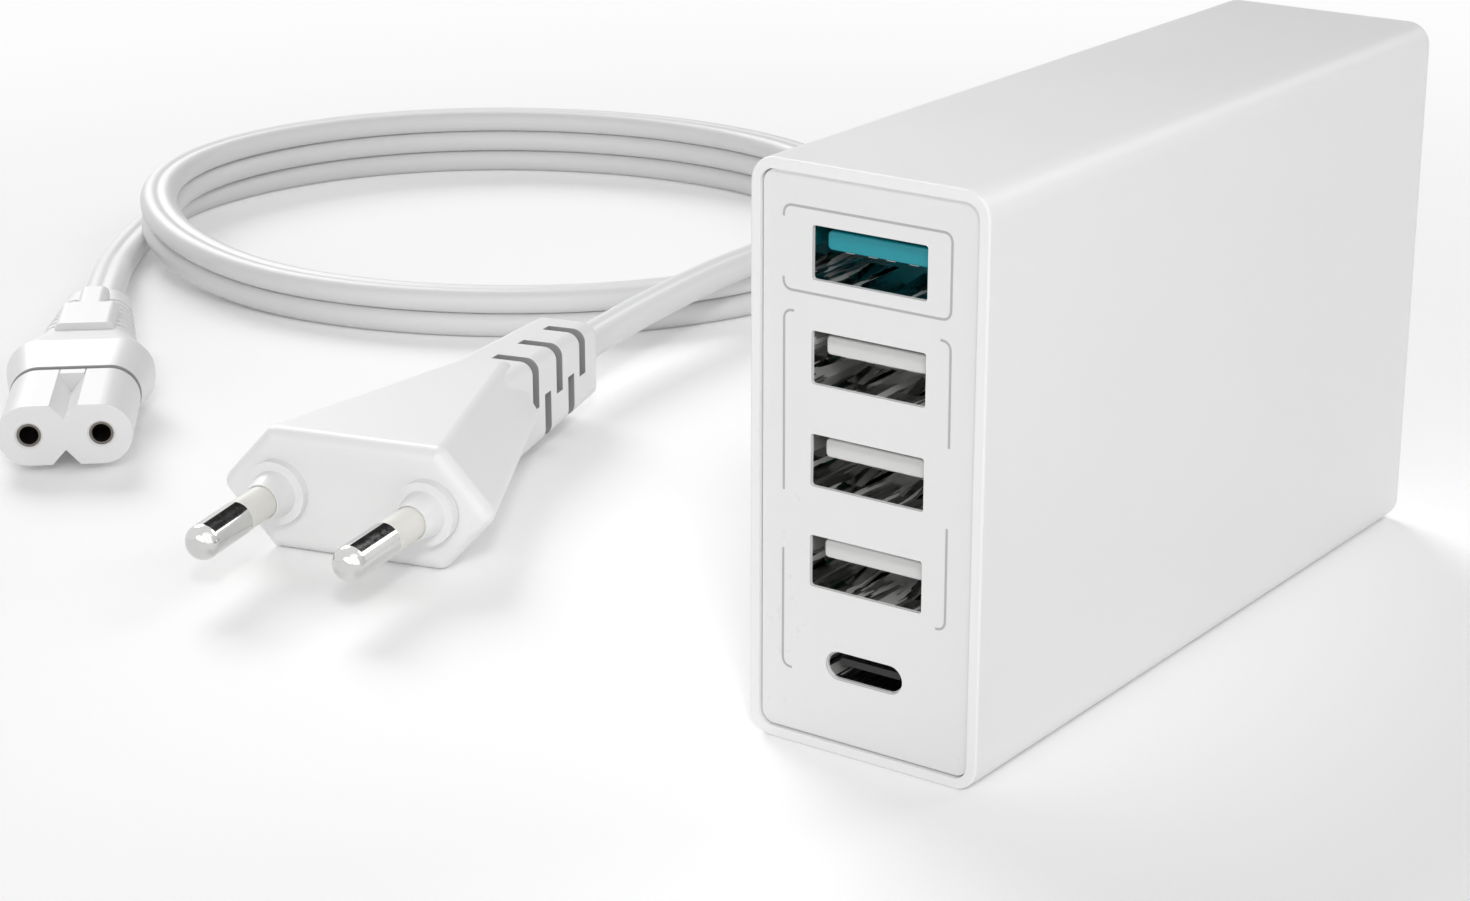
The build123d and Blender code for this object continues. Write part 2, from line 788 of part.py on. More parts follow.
with BuildPart() as choke_windings:
    with BuildSketch(choke_plane):
        with Locations((choke_middle, choke_rise)):
            Rectangle(choke_ring + 2 * choke_winding, choke_height + 2 * choke_winding)
            Rectangle(choke_ring, choke_height, mode=Mode.SUBTRACT)
    revolve(axis=choke_axis)
    with Locations((board_face_x, input_y, choke_z)):
        Box(
            2 * (choke_height + 2 * choke_winding),
            choke_gap,
            choke_outer,
            align=(Align.CENTER, Align.CENTER, Align.CENTER),
            mode=Mode.SUBTRACT,
        )
keep(choke_windings, "choke_windings")

# Beside the inlet: fuse and rectifier above it, suppression capacitor and varistor below it
above_z = (inlet_z + inlet_block_height / 2 + parts_top) / 2
below_z = (inlet_z - inlet_block_height / 2 + parts_bottom) / 2
bridge_y, fuse_y = spread([bridge_thickness, fuse_diameter], inlet_front_y, board_rear_y)
x_capacitor_y, varistor_y = spread([x_capacitor_thickness, varistor_thickness], inlet_front_y, board_rear_y)
with BuildPart() as fuse:
    with BuildSketch(board_plane):
        with Locations((fuse_y, above_z)):
            Circle(fuse_diameter / 2)
    extrude(amount=fuse_height)
    fillet(fuse.faces().sort_by(Axis.X)[-1].edges(), capacitor_edge)
keep(fuse, "fuse")

with BuildPart() as bridge_rectifier:
    with BuildSketch(board_plane):
        with Locations((bridge_y, above_z)):
            Rectangle(bridge_thickness, bridge_width)
    extrude(amount=bridge_height)
    bridge_top = bridge_rectifier.edges().filter_by(Axis.Y).group_by(Axis.X)[-1]
    chamfer(bridge_top.sort_by(Axis.Z)[-1], bridge_chamfer)
keep(bridge_rectifier, "bridge_rectifier")

with BuildPart() as x_capacitor:
    with BuildSketch(board_plane):
        with Locations((x_capacitor_y, below_z)):
            RectangleRounded(x_capacitor_thickness, x_capacitor_width, x_capacitor_edge)
    extrude(amount=x_capacitor_height)
keep(x_capacitor, "x_capacitor")

with BuildPart() as varistor:
    disc_on_leads(varistor_y, below_z, varistor_diameter, varistor_thickness)
keep(varistor, "varistor")

# Chips on the solder side
with BuildPart() as controller_chip:
    with BuildSketch(solder_plane):
        with Locations((switch_y, transformer_z)):
            Rectangle(chip_width, chip_length)
    extrude(amount=-chip_height)
keep(controller_chip, "controller_chip")

with BuildPart() as optocoupler:
    with BuildSketch(solder_plane):
        with Locations((transformer_y, y_capacitor_z)):
            Rectangle(optocoupler_length, optocoupler_width)
    extrude(amount=-optocoupler_height)
keep(optocoupler, "optocoupler")

with BuildPart() as charge_controllers:
    with BuildSketch(solder_plane):
        with Locations([(output_y, z) for z in socket_heights + [oval_z]]):
            Rectangle(chip_width, chip_length)
    extrude(amount=-chip_height)
keep(charge_controllers, "charge_controllers")


# Mains lead: plug, lying flat
def heading_plane(x, y, z, heading):
    """Upright plane facing this many degrees from -Y towards +X, with its own y up."""
    turn = radians(heading)
    return Plane(origin=(x, y, z), x_dir=(cos(turn), sin(turn), 0), z_dir=(sin(turn), -cos(turn), 0))


def flat_hexagon(full_width, flat_width, thickness):
    """Hexagon with level top and bottom edges and a corner at each end of its middle."""
    Polygon(
        (-full_width / 2, 0),
        (-flat_width / 2, -thickness / 2),
        (flat_width / 2, -thickness / 2),
        (full_width / 2, 0),
        (flat_width / 2, thickness / 2),
        (-flat_width / 2, thickness / 2),
        align=None,
    )


def quarter_slot(place, side, rise, reach):
    """Cuts a slot into one quarter of the plug's relief, down to the web round the cord."""
    with BuildSketch(relief_start.offset(-place)) as slot:
        with Locations((-side * relief_slot_overlap, -rise * relief_slot_overlap)):
            Rectangle(
                plug_width,
                reach + relief_slot_overlap,
                align=(Align.MIN if side > 0 else Align.MAX, Align.MIN if rise > 0 else Align.MAX),
            )
        RectangleRounded(
            relief_web_width, relief_web_thickness, relief_web_thickness / 3, mode=Mode.SUBTRACT
        )
    extrude(slot.sketch, amount=-relief_slot, mode=Mode.SUBTRACT)


plug_face = heading_plane(plug_x, plug_y, plug_thickness / 2, plug_heading)
relief_start = plug_face.offset(-plug_length)
relief_end = plug_face.offset(-plug_length - plug_relief_length)
pin_planes = []
for side in (-1, 1):
    pin_base = plug_face.from_local_coords((side * plug_pin_base_spacing / 2, 0, 0))
    pin_tip = plug_face.from_local_coords((side * plug_pin_tip_spacing / 2, 0, plug_pin_length))
    pin_planes.append(Plane(origin=pin_base, x_dir=(0, 0, 1), z_dir=pin_tip - pin_base))
with BuildPart() as plug_body:
    with BuildSketch(plug_face):
        flat_hexagon(plug_width, plug_flat, plug_thickness)
    with BuildSketch(relief_start):
        flat_hexagon(plug_back_width, plug_back_flat, plug_back_thickness)
    loft(ruled=True)
    fillet(plug_body.edges(), plug_edge)
    with BuildSketch(relief_start.offset(plug_relief_root)):
        RectangleRounded(plug_relief_width, plug_relief_thickness, plug_relief_radius)
    with BuildSketch(relief_end):
        RectangleRounded(plug_relief_end_width, plug_relief_end_thickness, plug_relief_radius)
    loft()
    for number in range(relief_slot_count):
        slot_place = relief_slot_start + number * relief_slot_pitch
        quarter_slot(slot_place, 1, 1, plug_thickness)
        quarter_slot(slot_place, -1, -1, plug_thickness)
    for number in range(relief_slot_count - 1):
        slot_place = relief_slot_start + (number + 0.5) * relief_slot_pitch
        quarter_slot(slot_place, 1, -1, plug_thickness)
        quarter_slot(slot_place, -1, 1, relief_slot_rise)
    for pin_plane in pin_planes:
        with BuildSketch(pin_plane):
            Circle(collar_diameter / 2)
        extrude(amount=collar_height)
        with BuildSketch(pin_plane.offset(collar_height)):
            Circle(pin_base_diameter / 2)
        extrude(amount=pin_base_height, taper=pin_base_taper)
        with BuildSketch(pin_plane):
            Circle(sleeve_diameter / 2 + sleeve_clearance)
        extrude(amount=plug_pin_root, both=True, mode=Mode.SUBTRACT)
keep(plug_body, "plug_body")

pin_axis = Axis(plug_face.origin, plug_face.z_dir)
with BuildPart() as plug_pins:
    for pin_plane in pin_planes:
        with BuildSketch(pin_plane.offset(-plug_pin_root)):
            Circle(plug_pin_core / 2)
        extrude(amount=plug_pin_root + sleeve_length)
        with BuildSketch(pin_plane.offset(sleeve_length)):
            Circle(plug_pin_diameter / 2)
        extrude(amount=plug_pin_length - sleeve_length)
    fillet(plug_pins.edges().filter_by(GeomType.CIRCLE).sort_by(pin_axis)[-2:], plug_pin_tip_radius)
keep(plug_pins, "plug_pins")

with BuildPart() as plug_pin_sleeves:
    for pin_plane in pin_planes:
        with BuildSketch(pin_plane.offset(-plug_pin_root)):
            Circle(sleeve_diameter / 2)
            Circle(plug_pin_core / 2 + sleeve_clearance, mode=Mode.SUBTRACT)
        extrude(amount=plug_pin_root + sleeve_length)
keep(plug_pin_sleeves, "plug_pin_sleeves")

# Mains lead: figure-of-eight connector
connector_face = heading_plane(connector_x, connector_y, connector_thickness / 2, connector_heading)
shoulder_start = connector_face.offset(-nose_length)
shoulder_end = shoulder_start.offset(-shoulder_length)
connector_back = shoulder_end.offset(-connector_taper)
grip_back = connector_back.offset(-grip_length)
connector_end = connector_back.offset(-connector_relief_length)
connector_axis = Axis(connector_face.origin, connector_face.z_dir)
nose_back = shoulder_start.offset(seam_gap)
ramp_plane = Plane(origin=nose_back.origin, x_dir=connector_face.z_dir, z_dir=-connector_face.x_dir)
hole_places = [(-pin_spacing / 2, 0), (pin_spacing / 2, 0)]
with BuildPart() as connector_body:
    with BuildSketch(shoulder_start):
        RectangleRounded(shoulder_width, shoulder_thickness, shoulder_radius)
    with BuildSketch(shoulder_end):
        RectangleRounded(connector_width, connector_thickness, connector_radius)
    loft()
    fillet(connector_body.faces().sort_by(connector_axis)[-1].edges(), shoulder_edge)
    with BuildSketch(connector_face):
        nose_outline(0, 0)
    extrude(amount=seam_gap - nose_length)
    with BuildSketch(ramp_plane):
        Polygon(
            (0, -lobe_radius),
            (groove_setback, -lobe_radius),
            (groove_setback + groove_ramp_length, 0),
            (groove_setback, lobe_radius),
            (0, lobe_radius),
            align=None,
        )
    extrude(amount=groove_ramp_width / 2, both=True)
    with BuildSketch(shoulder_start):
        SlotOverall(pin_spacing + 2 * (lobe_radius - seam_depth), 2 * (lobe_radius - seam_depth))
    extrude(amount=seam_gap)
    with BuildSketch(shoulder_end):
        RectangleRounded(connector_width, connector_thickness, connector_radius)
    with BuildSketch(connector_back):
        RectangleRounded(connector_back_width, connector_back_thickness, connector_back_radius)
    loft()
    with BuildSketch(connector_back):
        RectangleRounded(connector_back_width, connector_back_thickness, connector_back_radius)
    with BuildSketch(connector_end):
        RectangleRounded(
            connector_relief_end_width, connector_relief_end_thickness, connector_relief_end_radius
        )
    loft()
    for number in range(rib_count):
        rib_place = rib_start + number * rib_pitch
        rib_share = rib_place / connector_relief_length
        rib_width = between(connector_back_width, connector_relief_end_width, rib_share)
        rib_thickness = between(connector_back_thickness, connector_relief_end_thickness, rib_share)
        with BuildSketch(connector_back.offset(-rib_place)):
            Rectangle(connector_width, connector_thickness)
            RectangleRounded(
                rib_width - 2 * rib_depth,
                rib_thickness - 2 * rib_depth,
                connector_relief_end_radius,
                mode=Mode.SUBTRACT,
            )
        extrude(amount=-rib_gap, mode=Mode.SUBTRACT)
    with BuildSketch(connector_back):
        RectangleRounded(grip_width, grip_thickness, grip_radius)
    extrude(amount=-grip_length)
    with BuildSketch(grip_back):
        RectangleRounded(neck_width, neck_thickness, grip_radius)
    extrude(amount=-neck_length)
    with BuildSketch(connector_face):
        with Locations(hole_places):
            Circle(connector_hole_diameter / 2)
    extrude(amount=-connector_hole_depth, mode=Mode.SUBTRACT)
    nose_face = connector_body.faces().sort_by(connector_axis)[-1]
    chamfer(nose_face.inner_wires().edges(), connector_hole_edge)
keep(connector_body, "connector_body")

with BuildPart() as connector_contacts:
    with BuildSketch(connector_face.offset(-contact_sleeve_setback)):
        with Locations(hole_places):
            Circle(connector_hole_diameter / 2 - contact_sleeve_clearance)
            Circle(contact_sleeve_bore / 2, mode=Mode.SUBTRACT)
    extrude(amount=-contact_sleeve_length)
keep(connector_contacts, "connector_contacts")


# Mains lead: the cord's loop, and the two ends that run into it
def soft_radii(points):
    """Radius at each inner point of a route, as large as the shorter of its two runs allows."""
    radii = []
    for before, at, after in zip(points, points[1:], points[2:]):
        run_in = at - before
        run_out = after - at
        half_turn = radians(run_in.get_angle(run_out)) / 2
        radii.append(corner_share * min(run_in.length, run_out.length) / tan(half_turn))
    return radii


def loop_outline():
    """Ring as wide as the cord, with some slack, along the loop's ellipse."""
    with Locations((loop_centre_x, loop_centre_y)):
        Ellipse(loop_long_radius + loop_band / 2, loop_short_radius + loop_band / 2, rotation=loop_turn)
        Ellipse(
            loop_long_radius - loop_band / 2,
            loop_short_radius - loop_band / 2,
            rotation=loop_turn,
            mode=Mode.SUBTRACT,
        )


loop_band = cord_width + 2 * loop_slack
loop_angle = radians(loop_turn)
loop_reach = hypot(loop_long_radius * cos(loop_angle), loop_short_radius * sin(loop_angle))
loop_skew = (loop_long_radius**2 - loop_short_radius**2) * sin(loop_angle) * cos(loop_angle) / loop_reach
loop_exit_x = loop_centre_x + loop_reach
loop_exit_y = loop_centre_y + loop_skew
with BuildPart() as cord_loop:
    with BuildSketch():
        loop_outline()
    extrude(amount=2 * loop_layer)
    with BuildSketch(Plane.XY.offset(2 * loop_layer)):
        loop_outline()
        with Locations((loop_centre_x, loop_exit_y)):
            Rectangle(
                4 * loop_long_radius,
                4 * loop_long_radius,
                align=(Align.CENTER, Align.MAX),
                mode=Mode.SUBTRACT,
            )
    extrude(amount=loop_layer)
keep(cord_loop, "cord_loop")

top_layer_z = 2 * loop_layer + cord_thickness / 2 + loop_rest_gap
plug_route = [
    relief_end.origin,
    relief_end.from_local_coords((0, 0, -cord_lead_out)),
    Vector(loop_exit_x, loop_exit_y - cord_last_run, top_layer_z),
    Vector(loop_exit_x, loop_exit_y, top_layer_z),
]
with BuildPart() as cord_plug_end:
    with BuildLine() as plug_path:
        FilletPolyline(*plug_route, radius=soft_radii(plug_route))
    with BuildSketch(relief_end):
        SlotOverall(cord_width, cord_thickness)
    sweep()
keep(cord_plug_end, "cord_plug_end")

connector_route = [connector_end.origin] + [Vector(*point) for point in connector_route_points]
with BuildPart() as cord_connector_end:
    with BuildLine() as connector_path:
        FilletPolyline(*connector_route, radius=soft_radii(connector_route))
    with BuildSketch(connector_end):
        SlotOverall(cord_width, cord_thickness)
    sweep()
    add(cord_loop.part, mode=Mode.SUBTRACT)
keep(cord_connector_end, "cord_connector_end")
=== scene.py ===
from math import cos, pi, radians, sin

import bpy
import numpy as np
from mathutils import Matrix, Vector


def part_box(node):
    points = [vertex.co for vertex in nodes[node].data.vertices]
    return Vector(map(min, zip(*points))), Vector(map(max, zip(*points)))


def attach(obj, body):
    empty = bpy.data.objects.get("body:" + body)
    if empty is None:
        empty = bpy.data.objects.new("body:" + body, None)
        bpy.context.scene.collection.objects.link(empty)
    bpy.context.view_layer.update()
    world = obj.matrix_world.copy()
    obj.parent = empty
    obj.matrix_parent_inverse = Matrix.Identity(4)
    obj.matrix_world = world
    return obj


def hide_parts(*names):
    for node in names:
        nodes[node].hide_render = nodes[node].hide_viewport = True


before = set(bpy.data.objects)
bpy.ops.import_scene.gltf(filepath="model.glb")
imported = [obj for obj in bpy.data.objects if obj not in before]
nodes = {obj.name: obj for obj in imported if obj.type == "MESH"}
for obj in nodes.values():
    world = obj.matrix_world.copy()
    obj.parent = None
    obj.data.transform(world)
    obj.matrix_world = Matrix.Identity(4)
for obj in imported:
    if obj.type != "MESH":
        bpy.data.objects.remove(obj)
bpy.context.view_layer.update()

scene = bpy.context.scene
MM = 0.001


# Camera, where the photograph was taken from
def place_camera(azimuth, elevation, place, lens):
    """Camera at a place in mm, looking this many degrees round from +Y towards -X and down."""
    data = bpy.data.cameras.new("camera")
    data.sensor_fit = "HORIZONTAL"
    data.sensor_width = 36.0
    data.lens = lens
    data.clip_start = 0.01
    data.clip_end = 50.0
    camera = bpy.data.objects.new("camera", data)
    turn, tilt = radians(azimuth), radians(elevation)
    forward = Vector((-sin(turn) * cos(tilt), cos(turn) * cos(tilt), -sin(tilt)))
    camera.location = Vector(place) * MM
    camera.rotation_euler = forward.to_track_quat("-Z", "Y").to_euler()
    scene.collection.objects.link(camera)
    scene.camera = camera


place_camera(35.77, 18.98, (155.2, -282.4, 128.6), 78.8)
scene.view_settings.view_transform = "Standard"


# Shader maths
class Value:
    """A shader socket. Arithmetic on it adds Math nodes, so that formulas read as formulas."""

    def __init__(self, graph, node, output):
        self.graph = graph
        self.node = node
        self.socket = node.outputs[output]

    def other(self, output):
        """Another output of the same node."""
        return Value(self.graph, self.node, output)

    def join(self, operation, left, right):
        return self.graph.node("ShaderNodeMath", {"operation": operation}, {0: left, 1: right})

    def __add__(self, right):
        return self.join("ADD", self, right)

    def __radd__(self, left):
        return self.join("ADD", left, self)

    def __sub__(self, right):
        return self.join("SUBTRACT", self, right)

    def __rsub__(self, left):
        return self.join("SUBTRACT", left, self)

    def __mul__(self, right):
        return self.join("MULTIPLY", self, right)

    def __rmul__(self, left):
        return self.join("MULTIPLY", left, self)

    def __mod__(self, right):
        return self.join("FLOORED_MODULO", self, right)

    def __gt__(self, right):
        return self.join("GREATER_THAN", self, right)

    def __lt__(self, right):
        return self.join("LESS_THAN", self, right)


class Graph:
    """A node tree that is filled by calls to one method."""

    def __init__(self, tree):
        self.tree = tree
        tree.nodes.clear()

    def node(self, kind, settings=None, inputs=None, output=0):
        """Adds a node: its settings come first, then the values or links of its sockets."""
        made = self.tree.nodes.new(kind)
        for name, setting in (settings or {}).items():
            setattr(made, name, setting)
        for name, given in (inputs or {}).items():
            if isinstance(given, Value):
                self.tree.links.new(given.socket, made.inputs[name])
            else:
                made.inputs[name].default_value = given
        return Value(self, made, output) if len(made.outputs) else None

    def places(self, scale=(1, 1, 1), shift=(0, 0, 0)):
        """Object coordinates, stretched along each axis and then shifted."""
        coordinates = self.node("ShaderNodeTexCoord", output="Object")
        inputs = {"Vector": coordinates, "Scale": scale, "Location": shift}
        return self.node("ShaderNodeMapping", {"vector_type": "POINT"}, inputs)

    def noise(self, scale, stretch=(1, 1, 1), detail=2.0):
        """Smooth noise from 0 to 1, with features of about one over the scale in metres."""
        inputs = {"Vector": self.places(stretch), "Scale": scale, "Detail": detail}
        return self.node("ShaderNodeTexNoise", None, inputs)

    def along(self, direction, start):
        """Distance in mm from a start point in mm, along a direction."""
        place = self.places((1 / MM,) * 3, tuple(-part for part in start))
        inputs = {0: place, 1: direction}
        return self.node("ShaderNodeVectorMath", {"operation": "DOT_PRODUCT"}, inputs, output="Value")

    def blend(self, share, first, second):
        """Colour between two colours."""
        return self.node("ShaderNodeMix", {"data_type": "RGBA"}, {0: share, 6: first, 7: second}, output=2)


def shade(colour, factor):
    """A colour made lighter or darker, with full alpha."""
    return (*(min(1.0, part * factor) for part in colour), 1.0)


def finish_material(name):
    """A new material and the graph of its nodes."""
    made = bpy.data.materials.new(name)
    made.use_nodes = True
    return made, Graph(made.node_tree)


def moulded(name, colour, roughness, grain=0.0, mottle=0.012, gloss_coat=0.0, painted_groove_shade=None):
    """Moulded plastic: faint slow mottling of its colour, uneven gloss and a fine spark-eroded grain. An
    optional groove function gives 1 in grooves, where shade is painted in as a darker copy of the colour, and
    0 elsewhere."""
    made, graph = finish_material(name)
    slow = graph.noise(38.0, detail=3.0)
    fine = graph.noise(900.0)
    base = graph.blend(slow, shade(colour, 1 - mottle), shade(colour, 1 + mottle))
    if painted_groove_shade:
        # Painted shade: grooves get a darker copy of the colour, standing in for the shadow in them
        base = graph.blend(painted_groove_shade(graph), base, shade(colour, 0.42))
    inputs = {
        "Base Color": base,
        "Roughness": roughness + 0.10 * (fine - 0.5) + 0.06 * (slow - 0.5),
        "IOR": 1.46,
        "Coat Weight": gloss_coat,
    }
    if grain:
        pits = graph.noise(5200.0, detail=1.0)
        bump = {"Strength": grain, "Distance": 0.00003, "Height": pits}
        inputs["Normal"] = graph.node("ShaderNodeBump", None, bump)
    surface = graph.node("ShaderNodeBsdfPrincipled", None, inputs)
    graph.node("ShaderNodeOutputMaterial", None, {"Surface": surface})
    return made


def metal(name, colour, roughness, stretch=(1, 1, 1), scratch=0.25, rubbed=0.0):
    """Sheet or plated metal: streaks along the stretched axis change its gloss and its tone a little. Where
    another piece slides along it, the stronger streaks are rubbed dull by this much."""
    made, graph = finish_material(name)
    streaks = graph.noise(1500.0, stretch, detail=3.0)
    cloud = graph.noise(160.0)
    base = graph.blend(0.5 * streaks + 0.5 * cloud, shade(colour, 0.86), shade(colour, 1.1))
    bump = graph.node("ShaderNodeBump", None, {"Strength": scratch, "Distance": 0.00001, "Height": streaks})
    uneven = roughness + 0.12 * (streaks - 0.5) + 0.08 * (cloud - 0.5)
    inputs = {
        "Base Color": base,
        "Metallic": 1.0,
        "Roughness": uneven + rubbed * (streaks > 0.58),
        "Normal": bump,
    }
    surface = graph.node("ShaderNodeBsdfPrincipled", None, inputs)
    graph.node("ShaderNodeOutputMaterial", None, {"Surface": surface})
    return made


# Grooves of the lead's ends, in mm, where shade is painted into the plastic's colour
connector_heading = 42.0
connector_face = (-124.0, -32.5, 0.0)
seam_back = -15.62
seam_front = -14.5
plug_heading = 14.5
plug_face = (-75.6, -34.6, 7.2)
plug_length = 36.0
slot_width = 1.9
slot_pitch = 7.4
slot_start = 1.2
slot_overlap = 0.5
closed_slot_rise = 3.6
last_single_slot = 18.0
slack = 0.02


def heading(turn):
    """Level direction this many degrees from -Y towards +X, and the one to its right, seen from its tip."""
    angle = radians(turn)
    return (sin(angle), -cos(angle), 0.0), (cos(angle), sin(angle), 0.0)


def connector_seam_painted_shade(graph):
    """The gap round the connector, between its nose and its shoulder, where shade is painted into the plastic
    as a darker colour.
    """
    ahead, _ = heading(connector_heading)
    depth = graph.along(ahead, connector_face)
    return (depth > seam_back) * (depth < seam_front)


def repeated_slots(depth, start):
    """1 in the slots that follow each other from a start, and 0 between them."""
    first = start - slack
    return ((depth - first) % slot_pitch < slot_width + 2 * slack) * (depth > first)


def plug_slot_painted_shade(graph):
    """1 in the slots of the plug's bend relief, where shade is painted into the plastic as a darker colour,
    and 0 elsewhere. Those in opposite quarters lie at the same places along it, and those in the other two
    quarters lie half a pitch further on."""
    ahead, across = heading(plug_heading)
    root = tuple(face - plug_length * part for face, part in zip(plug_face, ahead))
    depth = 0 - graph.along(ahead, root)
    side = graph.along(across, root)
    rise = graph.along((0.0, 0.0, 1.0), root)
    reach = slot_overlap + slack
    right, left = side > -reach, side < reach
    above, below = rise > -reach, rise < reach
    paired = right * above + left * below
    single = right * below + left * above * (rise < closed_slot_rise + slack)
    first = repeated_slots(depth, slot_start) * (paired > 0.5)
    between = repeated_slots(depth, slot_start + slot_pitch / 2) * (single > 0.5)
    return first + between * (depth < last_single_slot)


# Finishes and the nodes that wear them
finishes = {
    "housing_white": moulded("housing_white", (0.81, 0.81, 0.81), 0.38, grain=0.06),
    "panel_white": moulded("panel_white", (0.75, 0.75, 0.75), 0.30, mottle=0.008, gloss_coat=0.15),
    # The plug's and the connector's white have painted shade in their grooves
    "plug_white": moulded("plug_white", (0.80, 0.80, 0.80), 0.42, grain=0.06, painted_groove_shade=plug_slot_painted_shade),
    "connector_white": moulded(
        "connector_white", (0.76, 0.76, 0.76), 0.42, grain=0.06, painted_groove_shade=connector_seam_painted_shade
    ),
    "sheath_white": moulded("sheath_white", (0.72, 0.72, 0.72), 0.46, grain=0.08),
    "print_grey": moulded("print_grey", (0.42, 0.42, 0.42), 0.5, mottle=0.05),
    "tongue_teal": moulded("tongue_teal", (0.006, 0.26, 0.315), 0.35, mottle=0.04),
    "tongue_white": moulded("tongue_white", (0.64, 0.64, 0.63), 0.38, mottle=0.02),
    "black_plastic": moulded("black_plastic", (0.014, 0.014, 0.015), 0.4, mottle=0.12),
    "sleeve_cream": moulded("sleeve_cream", (0.74, 0.73, 0.68), 0.38, mottle=0.02),
    "board_green": moulded("board_green", (0.010, 0.070, 0.030), 0.35, mottle=0.2),
    "shrink_sleeve": moulded("shrink_sleeve", (0.02, 0.025, 0.04), 0.25, mottle=0.15),
    "ferrite": moulded("ferrite", (0.05, 0.05, 0.05), 0.6, grain=0.3, mottle=0.15),
    "blue_dip": moulded("blue_dip", (0.03, 0.10, 0.36), 0.3, mottle=0.1),
    "yellow_case": moulded("yellow_case", (0.66, 0.5, 0.06), 0.4, mottle=0.05),
    "film": moulded("film", (0.7, 0.68, 0.6), 0.45, mottle=0.05),
    "nickel_sheet": metal("nickel_sheet", (0.60, 0.60, 0.59), 0.10, (0.45, 0.04, 0.45), rubbed=0.5),
    "dark_bronze": metal("dark_bronze", (0.20, 0.18, 0.16), 0.35),
    "tin_plate": metal("tin_plate", (0.36, 0.36, 0.35), 0.25, (1, 0.2, 1)),
    "pin_plate": metal("pin_plate", (0.66, 0.66, 0.65), 0.09, (1, 1, 1), scratch=0.05),
    "copper_wire": metal("copper_wire", (0.70, 0.30, 0.14), 0.3, (1, 1, 8)),
    "sink_aluminium": metal("sink_aluminium", (0.72, 0.72, 0.73), 0.32, (1, 1, 0.1)),
    "zinc_steel": metal("zinc_steel", (0.6, 0.6, 0.6), 0.3),
}

worn_by = {
    "housing_white": ["housing"],
    "panel_white": ["front_panel"],
    "plug_white": ["plug_body"],
    "connector_white": ["connector_body"],
    "tongue_teal": ["usb_a_tongue_1"],
    "tongue_white": ["usb_a_tongue_2", "usb_a_tongue_3", "usb_a_tongue_4", "transformer_bobbin"],
    "black_plastic": [
        "usb_c_tongue", "inlet_body", "rectifier_transistor", "switch_transistor", "bridge_rectifier",
        "controller_chip", "optocoupler", "charge_controllers",
    ],
    "sleeve_cream": ["plug_pin_sleeves"],
    "board_green": ["main_board"],
    "shrink_sleeve": ["output_capacitors", "bulk_capacitors", "fuse"],
    "ferrite": ["transformer_core", "choke_core", "output_inductor"],
    "blue_dip": ["y_capacitor", "varistor"],
    "yellow_case": ["x_capacitor"],
    "film": ["insulating_sheet"],
    "nickel_sheet": ["usb_a_shell_1", "usb_a_shell_2", "usb_a_shell_3", "usb_a_shell_4", "usb_c_shell"],
    "tin_plate": [
        "usb_a_contacts_1", "usb_a_contacts_2", "usb_a_contacts_3", "usb_a_contacts_4", "usb_c_contacts",
    ],
    "dark_bronze": ["connector_contacts"],
    "pin_plate": ["plug_pins", "inlet_pins"],
    "copper_wire": ["transformer_winding", "choke_windings"],
    "sink_aluminium": ["rectifier_heat_sink", "switch_heat_sink"],
    "zinc_steel": ["heat_sink_screws"],
    "sheath_white": ["cord_loop", "cord_plug_end", "cord_connector_end"],
}
for finish, wearers in worn_by.items():
    for wearer in wearers:
        for slot in nodes[wearer].material_slots:
            slot.material = finishes[finish]


# Pieces as grids of points
def grid_piece(name, points, finish, cap_ends=False):
    """Piece from a grid of points in mm: each row is a closed ring, and quads join neighbouring rows."""
    rows, columns = points.shape[:2]
    index = np.arange(rows * columns).reshape(rows, columns)
    index = np.hstack([index, index[:, :1]])
    quads = np.stack([index[:-1, :-1], index[:-1, 1:], index[1:, 1:], index[1:, :-1]], axis=-1)
    faces = quads.reshape(-1, 4).tolist()
    if cap_ends:
        faces.append(index[0, :-1][::-1].tolist())
        faces.append(index[-1, :-1].tolist())
    mesh = bpy.data.meshes.new(name)
    mesh.from_pydata((points.reshape(-1, 3) * MM).tolist(), [], faces)
    mesh.materials.append(finishes[finish])
    mesh.shade_smooth()
    piece = bpy.data.objects.new(name, mesh)
    scene.collection.objects.link(piece)
    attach(piece, "root")
    return piece


# The lead's cord: from the connector, twice and a half round the loop, to the plug
cord_width = 5.4
cord_thickness = 3.3
loop_centre = np.array([-147.5, 79.0])
loop_radii = np.array([52.9, 46.4])
loop_turn = radians(18.4)
points_per_turn = 16


def ease(low, high, at):
    """Smooth step from 0 to 1 between two places."""
    share = np.clip((at - low) / (high - low), 0, 1)
    return share * share * (3 - 2 * share)


def loop_points(first, last):
    """Control points round the loop, in degrees clockwise from its left end: an ellipse that starts wide,
    and climbs by one thickness where each turn meets the one before."""
    at = np.arange(first, last, 360 / points_per_turn)
    angle = np.radians(at)
    wide = (1 + 0.045 * (1 - ease(-25, 30, at))) / cos(pi / points_per_turn)
    along = -loop_radii[0] * wide * np.cos(angle)
    across = loop_radii[1] * wide * np.sin(angle)
    x = loop_centre[0] + along * cos(loop_turn) - across * sin(loop_turn)
    y = loop_centre[1] + along * sin(loop_turn) + across * cos(loop_turn)
    z = cord_thickness * (0.5 + ease(285, 350, at) + ease(645, 710, at))
    return np.column_stack([x, y, z])


cord_route = np.vstack([
    [(-159.13, 6.51, 4.7), (-169.8, 18.4, 4.2), (-182.5, 32.0, 1.75)],
    loop_points(-22.5, 905),
    [(-95.2, 76.0, 8.25), (-95.2, 58.5, 8.2), (-93.2, 33.6, 7.2), (-89.97, 20.97, 7.2)],
])


